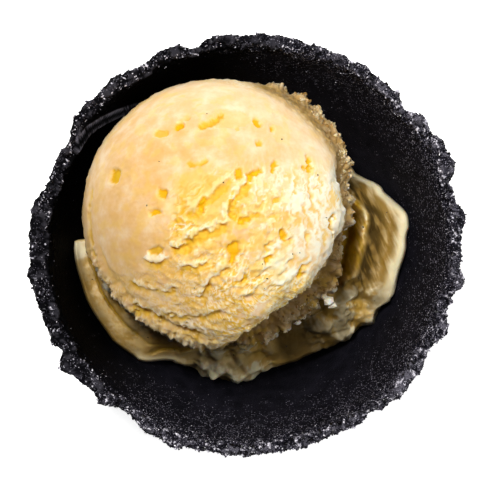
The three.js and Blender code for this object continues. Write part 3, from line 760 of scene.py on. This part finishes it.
def scoop_body(ways, from_top, around, ragged, crumble, grains):
    """Distance from the ball's centre to its skin: the dome, its broken side and the torn lip."""
    level = np.maximum(np.hypot(ways[:, 0], ways[:, 1]), 0.05)
    broken = sector(around, *BROKEN_SECTOR)
    squashed = sector(around, *LEFT_LIP_SECTOR)
    collar = sector(around, *COLLAR_SECTOR)
    edge_reach = np.interp(around, *np.array(SHOULDER, dtype=float).T)
    shoulder = mix(mix(SCOOP_RADIUS + 2, LEFT_LIP_REACH - 0.8, squashed), edge_reach, broken)
    shoulder = shoulder + (0.9 * ragged + 0.7 * crumble + 0.3 * grains) * broken
    plateau = PLATEAU * broken * swell(from_top - PLATEAU_FROM_TOP, PLATEAU_WIDE)
    ball_reach, cliff_reach = SCOOP_RADIUS + plateau, shoulder / level
    turned = -TURN_OVER * np.log(np.exp(-ball_reach / TURN_OVER) + np.exp(-cliff_reach / TURN_OVER))
    dome = mix(np.minimum(ball_reach, cliff_reach), turned, broken)
    lip_reach = mix(mix(SCOOP_RADIUS, LEFT_LIP_REACH, squashed), COLLAR_REACH, collar)
    lip_reach = lip_reach - COLLAR_DENT * sector(around, *DENT_SECTOR)
    lip_reach = lip_reach + TONGUE * sector(around, *TONGUE_SECTOR)
    ripped = np.clip(squashed + broken + collar, 0, 1)
    lip_reach = lip_reach + (LIP_RAGGED * ragged + 0.7 * crumble + 0.8 * (grains - 0.5)) * ripped
    return mix(dome, lip_reach, swell(from_top - LIP - 1.5 * ragged, LIP_WIDE * 1.6))


def ice_cream_scoop():
    work, ways, from_top, around = scoop_directions()
    ball = ways * SCOOP_RADIUS
    ragged = cloud(ball, 4, 4, 4, 0.6)
    crumble = cloud(ball, 2.4, 5, 3, 0.55)
    grains = pebbles(ball, 1.2, 6)
    broken, collar, fringe = (
        sector(around, *arc) for arc in (BROKEN_SECTOR, COLLAR_SECTOR, FRINGE_SECTOR)
    )
    reach = scoop_body(ways, from_top, around, ragged, crumble, grains)
    seat = np.minimum(SEAT_RADIUS, SEAT_DROP / np.maximum(-ways[:, 2], 0.05))
    below = ramp(from_top, LIP + 3, LIP + 9)

    # Where the surface is smooth, torn, combed by the scoop, or crumbled
    plan = ways * reach[:, None]
    wander = 0.2 + 0.8 * ramp(plan[:, 0] - plan[:, 1], -8, 8)
    x, y = (
        plan[:, axis] + 1.1 * wander * cloud(plan, 3, 6 + axis, 2)
        + 0.3 * (1 + wander) * cloud(plan, 1.1, 12 + axis, 2) for axis in (0, 1)
    )
    upper = ramp(from_top, 100, 88)
    combed = ramp(x + 0.25 * y, 4, 12) * mix(0.12, 1, ramp(y, 15, 5)) * upper
    low = ramp(-y - 0.3 * np.abs(x + 4), 4, 12) * upper
    centre = ramp(np.hypot((x - 3) / 1.2, y + 3), 17, 8) * upper
    side = ramp(from_top, 62, 80) * (1 - sector(around, *SMOOTH_SECTOR))
    crumbly = np.clip(low + side, 0, 1)
    torn = centre * (1 - 0.6 * combed) * (1 - 0.5 * crumbly)
    torn_side = side * np.clip(broken + collar, 0, 1)

    # Combed lines run down the ball on the right and bend round it lower down
    bend = ramp(-y, -4, 12)
    lines = np.stack((x / 0.9, y / 6, 0 * x), 1) * (1 - bend)[:, None]
    rings = np.stack((np.hypot(x, y) / 1.1, np.radians(around) * 5, 0 * x), 1) * bend[:, None]
    stripes = cloud(lines + rings, 1, 8, 2)

    # Flakes, lumps and grain, and the steps and teeth where the ice cream tore
    flakes = cloud(plan, 2.2, 9, 4, 0.6)
    lumps = cloud(plan * np.array((1, 1.25, 1)), 1.2, 10, 2, 0.6)
    fine = cloud(plan, 0.8, 11, 2)
    pits = pit_mask(x, y) * upper
    crests, hollows = tear_relief(x, y)
    broken_up = ramp(cloud(plan, 2.4, 14, 3), -0.25, 0.2)
    patchy = ramp(cloud(plan, 5, 17, 2), -0.35, 0.15)
    crests = crests * (0.4 + 0.6 * broken_up)
    hollows = hollows * upper * (0.6 + 0.4 * broken_up)
    crumb_field = cloud((plan + 0.3 * np.stack((fine, lumps, fine), 1)) * (1, 1.5, 1), 4.6, 18, 3, 0.55)
    slanted = np.stack((0.52 * x + 0.3 * y, 0.86 * y - 0.5 * x, 0 * x), 1)
    torn_field = cloud(slanted, 4.4, 19, 3, 0.55)
    crumb_steps, crumb_crest, crumb_gap = terraces(crumb_field, (-0.3, 0, 0.3), 0.1, 0.24)
    torn_steps, torn_crest, torn_gap = terraces(torn_field, (-0.2, 0.15), 0.08, 0.25)
    crisp = 0.6 + 0.4 * ramp(x, -14, 4)
    on_crumbs = crumbly * crisp * (1 - 0.6 * side)
    on_torn = torn * patchy * (1 - combed * 0.5)
    teeth = cloud(np.stack((around / 2.4, from_top / 11, 0 * x), 1), 1, 20, 4, 0.65)
    skirt = fringe * ramp(from_top, 62, 68) * ramp(from_top, 98, 93)
    groove = fringe * swell(from_top - 61 - 4 * ragged, 4.5)
    at_lip = np.maximum(swell(from_top - LIP, 6), collar)

    # Relief in millimetres
    relief = 0.06 * flakes + 0.04 * fine + 0.35 * ragged * swell(from_top - 88, 16)
    relief += combed * (0.26 * stripes + 0.06 * fine)
    relief += on_torn * 0.8 * (torn_steps - 0.5) + torn * (0.14 * flakes + 0.06 * fine)
    relief += on_crumbs * (0.8 * (crumb_steps - 0.5) + 0.12 * lumps + 0.1 * fine)
    relief += crumbly * crisp * (0.12 * flakes + 0.08 * stripes)
    relief += skirt * (0.5 + 0.75 * teeth + 0.1 * fine) - 0.55 * groove
    relief += torn_side * 0.4 * cloud(plan, 1.8, 16, 3) * (0.4 + 0.6 * at_lip)
    relief += torn_side * 0.3 * (grains - 0.5) * at_lip
    relief += 0.8 * crests * upper - 0.6 * hollows - 0.55 * pits
    reach = mix(reach + relief, seat + 0.1 * fine * ramp(ways[:, 2], -0.55, -0.45), below)

    # Yellow hollows: pits, torn hollows, clefts, combed troughs and the gaps between the teeth are tinted
    # as painted shade; the melted patches, the centre patches and the pool are the ice cream's own
    # yellower colour
    melted = ramp(cloud(plan, 3.6, 15, 3), 0.1, 0.4) * (1 - combed) * upper
    patches = centre * ramp(cloud(plan, 3, 28, 3), -0.2, 0.2)
    pooled = ramp(np.hypot(x - POOL[0], y - POOL[1]) + 3 * cloud(plan, 3, 29, 3), 9, 4.5)
    cleft = np.maximum(crumb_gap * on_crumbs, torn_gap * on_torn)
    hollow = np.maximum.reduce((
        ramp(pits, 0.3, 1.4), 0.9 * ramp(hollows, 0.1, 0.8), cleft, 0.3 * melted, 0.6 * patches,
        0.6 * combed * ramp(-stripes, 0.1, 0.45), 0.5 * (skirt * ramp(-teeth, 0.05, 0.4) + groove),
    )) * (1 - below)
    hollow = np.maximum(hollow, 0.6 * pooled)

    # Frosted crests, partly painted highlight, and painted shade on the torn side and the lower left
    brink = np.maximum(crumb_crest * on_crumbs, torn_crest * on_torn)
    southeast = ramp(x - 0.9 * y, 12, 26) * upper * (1 - torn_side)
    # Partly frost and partly painted highlight: the dome is painted paler towards the upper right and the
    # low right
    frost = combed * (0.3 + 0.5 * ramp(stripes, -0.2, 0.3)) + 1.1 * brink + 1.1 * ramp(crests, 0.08, 0.3)
    frost += 0.15 * centre + 0.3 * southeast + 0.8 * fringe * swell(from_top - 91, 9)
    frost += 0.45 * ramp(0.5 * x + 0.85 * y, 2, 26) * upper + 0.9 * skirt * ramp(teeth, -0.05, 0.35)
    pale_grains = ramp(grains + 0.5 * crumble, 0.45, 0.9) * (0.2 + 0.8 * swell(from_top - LIP, 9))
    tips = swell(from_top - 97, 5) * ramp(ragged + 0.6 * crumble, -0.1, 0.35)
    frost = np.clip(frost * (1 - torn_side) + torn_side * (0.5 * pale_grains + 0.8 * tips), 0, 1)
    # Painted shade: the torn side, the collar and the lower left are darkened towards brown, less so on
    # the fringe and the tips
    damp = torn_side * (1 - below) * mix(mix(0.8, 0.65, collar), 0.1, pale_grains)
    shade = 0.1 * ramp(-x, 10, 30) + 0.26 * ramp(-0.6 * x - 0.8 * y, 6, 28)
    shade_lifted = (1 - 0.7 * fringe * swell(from_top - 91, 12)) * (1 - 0.8 * tips)
    damp = np.maximum(damp, shade * upper) * shade_lifted
    rough = np.clip(0.8 * low * crisp + 0.6 * centre + 0.12 * combed + 0.5 * side, 0, 1) * (1 - below)
    places = ways * reach[:, None] + SCOOP_CENTRE
    looks = {"hollow": hollow, "frost": frost, "rough": rough, "damp": damp}
    mesh = mesh_from("scoop_of_vanilla", work, places, looks)
    add_piece(mesh, frozen_vanilla(), "ice_cream_scoop")

    # Crumbs where the scoop tore through, most of them on the lip and the collar
    weight = swell(from_top - LIP + 2, 8) * np.maximum(0.6 * broken, collar)
    weight = weight * ramp(crumble + 0.5 * ragged, 0, 0.4) * ramp(from_top, 104, 99)
    sunk, rng = places - ways * CRUMB_SUNK, np.random.default_rng(7)
    crumbs = strewn("frosted_crumbs", sunk, weight, CRUMBS, CRUMB_SIZE, 0.75, rng, 8)
    add_piece(crumbs, frosted_crumb("frosted_crumb", "A8854E", "F3DDB4"))
    # The loose fragments get a paler copy of the crumb colours: partly the white of frost and partly
    # painted light
    bits = np.array(FRAGMENTS)
    fragments = scattered("broken_fragments", bits[:, :3], bits[:, 3], 0.7, 9)
    add_piece(fragments, frosted_crumb("frosted_fragment_painted_light", "E8D8BC", "FFFAF0"))
    return places


# ---- lower mass

def lower_edge(degrees):
    """How far out the edge of the mass lies, and how high."""
    marks = np.array(EDGE + ((FULL_TURN + EDGE[0][0], *EDGE[0][1:]),), dtype=float)
    after = np.clip(np.searchsorted(marks[:, 0], degrees, side="right"), 1, len(EDGE))
    start, end = marks[after - 1], marks[after]
    share = ramp((degrees - start[:, 0]) / (end[:, 0] - start[:, 0]), 0, 1)
    return mix(start[:, 1], end[:, 1], share), mix(start[:, 2], end[:, 2], share)


def clear_of_wall(degrees, height):
    """The inside of the wafer with its lap, less the gap."""
    edge = INNER_LAP["cut"] + lap_drift(INNER_LAP, height)
    past = (degrees - edge + LAP_MARGIN) % FULL_TURN
    span = INNER_LAP["cut"] + INNER_LAP["turn"] - edge
    lapped = LAP_STEP * np.clip(1 - (past - LAP_MARGIN) / span, 0, 1)
    return plain_outside(height) + out_of_round(degrees, height) - WALL_THICK - lapped - GAP


def at_row(values, row, first):
    """The value that belongs to each row of a band of rows."""
    return np.array(values, dtype=float)[np.clip(row - first, 0, len(values) - 1)]


def ice_cream_lower():
    # The rows of the grid, from the middle of the floor up the wall, round the edge, over the top
    # to the crease beside the scoop, and down the seat under it
    floor = FLOOR_THICK + GAP
    wall_shares = np.linspace(0, 1, 16)
    round_steps = np.linspace(0, 1, 7)[1:]
    top_shares = np.linspace(1, 0, 110)[1:]
    bands = (wall_shares, round_steps, top_shares)
    wall_from, round_from, top_from, seat_from = np.cumsum((2, *map(len, bands)))
    work, row, column = spun(seat_from + len(SEAT_RINGS), LOWER_COLUMNS)
    degrees = column / LOWER_COLUMNS * FULL_TURN
    on_wall = (row >= wall_from) & (row < round_from)
    rolled = (row >= round_from) & (row < top_from)
    on_top = (row >= top_from) & (row < seat_from)
    on_seat = row >= seat_from

    facing = swell(turn_between(RIDGE_MIDDLE, degrees), RIDGE_HALF)
    left = swell(turn_between(LEFT_MIDDLE, degrees), LEFT_HALF)
    lumpy = np.maximum(sector(degrees, *FRONT_LUMPS), sector(degrees, *CORNER_LUMPS))
    banked = sector(degrees, *LEFT_BANK)
    right = sector(degrees, *RIGHT_SLOPE)
    out, high = lower_edge(degrees)
    around = polar(12, degrees, 0)
    out = out + 0.5 * cloud(around, 2.2, 20, 3) * (1 - swell(turn_between(195, degrees), 40))
    out = out + 0.3 * cloud(around, 1.3, 26, 3, 0.6) * lumpy
    out = np.minimum(out, clear_of_wall(degrees, high))
    turn_in = np.maximum(high - EDGE_DROP, floor + FLOOR_ROUND + 1)

    floor_edge = float(plain_outside(FLOOR_THICK)) - WALL_THICK - FLOOR_ROUND - 1
    places = polar(np.where(row == 0, 0, floor_edge), degrees, floor)
    height = mix(floor + FLOOR_ROUND, turn_in, at_row(wall_shares, row, wall_from))
    wall = polar(np.minimum(clear_of_wall(degrees, height), out), degrees, height)
    places[on_wall] = wall[on_wall]

    turn = at_row(round_steps, row, round_from) * math.pi / 2
    height = mix(high - EDGE_ROUND * 2.2, high, np.sin(turn))
    inset = EDGE_ROUND * (1 - np.cos(turn)) * 0.5
    height = height - ROUNDING * (1 - facing) * (1 - 0.7 * banked)
    edge_spots = polar(np.minimum(out - inset, clear_of_wall(degrees, height)), degrees, height)
    places[rolled] = edge_spots[rolled]

    seat_centre = SCOOP_CENTRE[:2]
    edge = polar(out - EDGE_ROUND * 0.5, degrees, high)
    way = edge[:, :2] - seat_centre
    way = way / np.linalg.norm(way, axis=1)[:, None]
    seat_radius = SEAT_RADIUS + GAP * 1.5
    crease_out = math.sqrt(seat_radius ** 2 - (SCOOP_CENTRE[2] - SEAT_CREASE) ** 2)
    crease = np.column_stack((way * crease_out + seat_centre, np.full(len(row), SEAT_CREASE)))

    # The top, with a share of 0 at the crease and 1 at the edge; relief in millimetres
    share = at_row(top_shares, row, top_from)
    middle = np.sin(math.pi * share)
    top = mix(crease, edge, share[:, None])
    down_slope = np.stack((
        0.9 * top[:, 0] + 0.4 * top[:, 1], (0.4 * top[:, 0] - 0.9 * top[:, 1]) / 6, 0 * share,
    ), 1)
    ragged = cloud(top, 5, 21, 3)
    lumps = cloud(top, 4.2, 22, 2, 0.35)
    fine = cloud(top, 1, 23, 2)
    stripes = cloud(down_slope, 1.5, 24, 3, 0.6)
    knobs = cloud(top, 4.6, 25, 3, 0.35)
    groove = left * swell(share - GROOVE_SHARE + 0.03 * ragged, 0.06)
    valley = facing * swell(share - VALLEY_SHARE + 0.02 * ragged, 0.13)
    fold_share = FOLD_SHARE - (degrees - FRONT_FOLD[0]) * 0.012 - 0.05 * ragged
    fold = sector(degrees, *FRONT_FOLD) * swell(share - fold_share, 0.1)
    top[:, 2] += RIDGE_HIGH * facing * swell(share - RIDGE_SHARE + 0.03 * ragged, 0.13)
    top[:, 2] += BANK_HIGH * left * swell(share - BANK_SHARE, 0.42)
    top[:, 2] -= HOLLOW * facing * swell(share - HOLLOW_SHARE, 0.2) + VALLEY * valley
    top[:, 2] -= GROOVE * groove + FOLD * fold
    top[:, 2] -= ROUNDING * (1 - facing) * (1 - 0.7 * banked) * ramp(share, 0.45, 1) ** 2
    top[:, 2] -= DIP * (1 - 0.6 * facing) * (1 - 0.8 * banked) * swell(share - DIP_SHARE, 0.24)
    top[:, 2] += middle * (0.9 * lumps + 0.15 * fine + 0.35 * stripes * facing)
    top[:, 2] += knobs * (lumpy * ramp(share, 0.2, 0.5) + 1.1 * banked * middle)
    places[on_top] = top[on_top]

    # The rim of the mass is lumpy where it has slumped down the wall
    outer = lumpy * (rolled | (on_top & (share > 0.5)))
    swollen = cloud(places, 5.4, 27, 3, 0.4)
    outwards = polar(1, degrees, 0)
    places = places + outwards * (SLUMP_OUT * swollen * outer)[:, None]
    places[:, 2] += SLUMP_UP * swollen * outer * ramp(share, 0.5, 0.75)

    ring = at_row(SEAT_RINGS, row, seat_from)
    drop = np.sqrt(np.maximum(seat_radius ** 2 - ring ** 2, 0))
    seat_high = SCOOP_CENTRE[2] - np.minimum(drop, SEAT_DROP + GAP)
    seat = np.column_stack((way * ring[:, None] + seat_centre, seat_high))
    places[on_seat] = seat[on_seat]

    # Yellow hollows: painted shade, olive yellow in the valley, the groove, the fold and the troughs
    # between lumps, stripes and knobs
    deep = 1.4 * valley + groove + 0.5 * ramp(-lumps, 0.1, 0.7) * middle
    deep += 0.7 * facing * ramp(-stripes, 0, 0.3) * middle + 0.25 * lumpy * ramp(-knobs, 0.1, 0.5)
    deep = np.clip(deep + 0.8 * fold, 0, 1) * on_top
    deep = np.maximum(deep, 0.4 * outer * ramp(-swollen, 0, 0.35))

    # Pale edges, partly frost and partly painted highlight, and painted shade in the troughs, in the
    # scoop's shadow and on the bank's outer edge
    streaky = ramp(stripes, -0.1, 0.4)
    ridge_bits = sector(degrees, *RIDGE_BITS) * swell(share - RIDGE_SHARE, 0.07)
    # Painted highlight, partly frost: the right lip where the light falls, and the front lumps lightened
    # in the shade
    pale = right * (ramp(share, 0.84, 0.97) + 0.4 * streaky * ramp(share, 0.68, 0.8))
    pale += 0.8 * ridge_bits * ramp(fine + lumps, -0.2, 0.3)
    pale += outer * ramp(swollen + 0.4 * fine, -0.15, 0.25)
    pale += 0.6 * sector(degrees, *FRONT_TIP) * ramp(share, 0.86, 1)
    pale += 0.5 * sector(degrees, *FRONT_RIM) * ramp(share, 0.5, 0.75)
    pale += sector(degrees, *BANK_TIP) * ramp(share, 0.6, 0.8)
    pale += 0.3 * banked * ramp(lumps + fine, -0.3, 0.5)
    frost = np.clip(pale, 0, 1) * (on_top | rolled) + rolled * facing
    sunk = ramp(share, 0.53, 0.58) * ramp(share, 0.95, 0.86) * mix(1, 0.45, ramp(share, 0.66, 0.82))
    # Painted shade: the slope in the scoop's shadow, the shaded corner and front, the bank's outer edge
    # and the troughs of the corner lumps
    damp = np.maximum.reduce((
        right * sunk * mix(1, 0.5, streaky),
        0.85 * sector(degrees, *SHADED_CORNER),
        0.75 * sector(degrees, *SHADED_FRONT) * ramp(share, 0.62, 0.42),
        banked * mix(0.15, 0.7, ramp(share, 0.8, 1)),
        0.6 * sector(degrees, *CORNER_LUMPS) * ramp(-knobs, -0.3, 0.1),
    ))
    looks = {"hollow": deep, "frost": frost, "damp": damp * (on_top | rolled)}
    mesh = mesh_from("lower_mass_of_vanilla", work, places, looks)
    add_piece(mesh, melted_vanilla(), "ice_cream_lower")
    return places


def seeds(surface):
    """Black seeds on top of the ice cream, at their places in plan."""
    middles = []
    for place in SEEDS:
        near = np.hypot(*(surface[:, :2] - place).T) < 0.6
        middles.append((*place, surface[near, 2].max()))
    sizes = np.random.default_rng(11).uniform(*SEED_SIZE, len(middles))
    mesh = scattered("vanilla_seeds", np.array(middles), sizes, 0.5, 12)
    add_piece(mesh, vanilla_seed())


# ---- floor, light and camera

def floor_and_light():
    work = bmesh.new()
    bmesh.ops.create_grid(work, x_segments=1, y_segments=1, size=FLOOR_WIDE / 2)
    mesh = bpy.data.meshes.new("floor")
    work.to_mesh(mesh)
    work.free()
    floor = bpy.data.objects.new("floor", mesh)
    scene.collection.objects.link(floor)
    mesh.materials.append(pale_floor())
    add_light("key", azimuth=114, elevation=71, distance=1.1, size=0.26, power=12, colour="FFFDFA")
    add_light("fill", azimuth=4, elevation=56, distance=1.2, size=0.4, power=4, colour="FFFFFF")
    world = bpy.data.worlds.new("studio")
    world.use_nodes = True
    glow = world.node_tree.nodes["Background"].inputs
    glow["Color"].default_value = (1, 1, 1, 1)
    glow["Strength"].default_value = WORLD_GLOW
    scene.world = world


def add_light(name, azimuth, elevation, distance, size, power, colour):
    lamp = bpy.data.lights.new(name, "AREA")
    lamp.shape = "DISK"
    lamp.size = size
    lamp.energy = power
    lamp.color = linear(colour)[:3]
    light = bpy.data.objects.new(name, lamp)
    around, up = math.radians(azimuth), math.radians(elevation)
    way = Vector((math.cos(up) * math.cos(around), math.cos(up) * math.sin(around), math.sin(up)))
    target = Vector((0, 0, CUP_HEIGHT * MM))
    light.location = target + way * distance
    light.rotation_euler = way.to_track_quat("Z", "Y").to_euler()
    scene.collection.objects.link(light)


def camera_above():
    across = 2 * RIM_RADIUS / CUP_ACROSS * PICTURE_WIDE
    lens = bpy.data.cameras.new("camera")
    lens.sensor_width = SENSOR_WIDE
    lens.lens = SENSOR_WIDE * CAMERA_REACH / across
    lens.clip_end = 10
    camera = bpy.data.objects.new("camera", lens)
    pixel = across / PICTURE_WIDE
    shift_x = (PICTURE_WIDE / 2 - CUP_MIDDLE[0]) * pixel
    shift_y = (CUP_MIDDLE[1] - PICTURE_WIDE / 2) * pixel
    camera.location = (shift_x * MM, shift_y * MM, (CUP_HEIGHT + CAMERA_REACH) * MM)
    scene.collection.objects.link(camera)
    scene.camera = camera


camera_above()
floor_and_light()
wafer_cup()
seeds(np.concatenate((ice_cream_lower(), ice_cream_scoop())))
scene.view_settings.view_transform = "Standard"
scene.view_settings.gamma = PICTURE_GAMMA
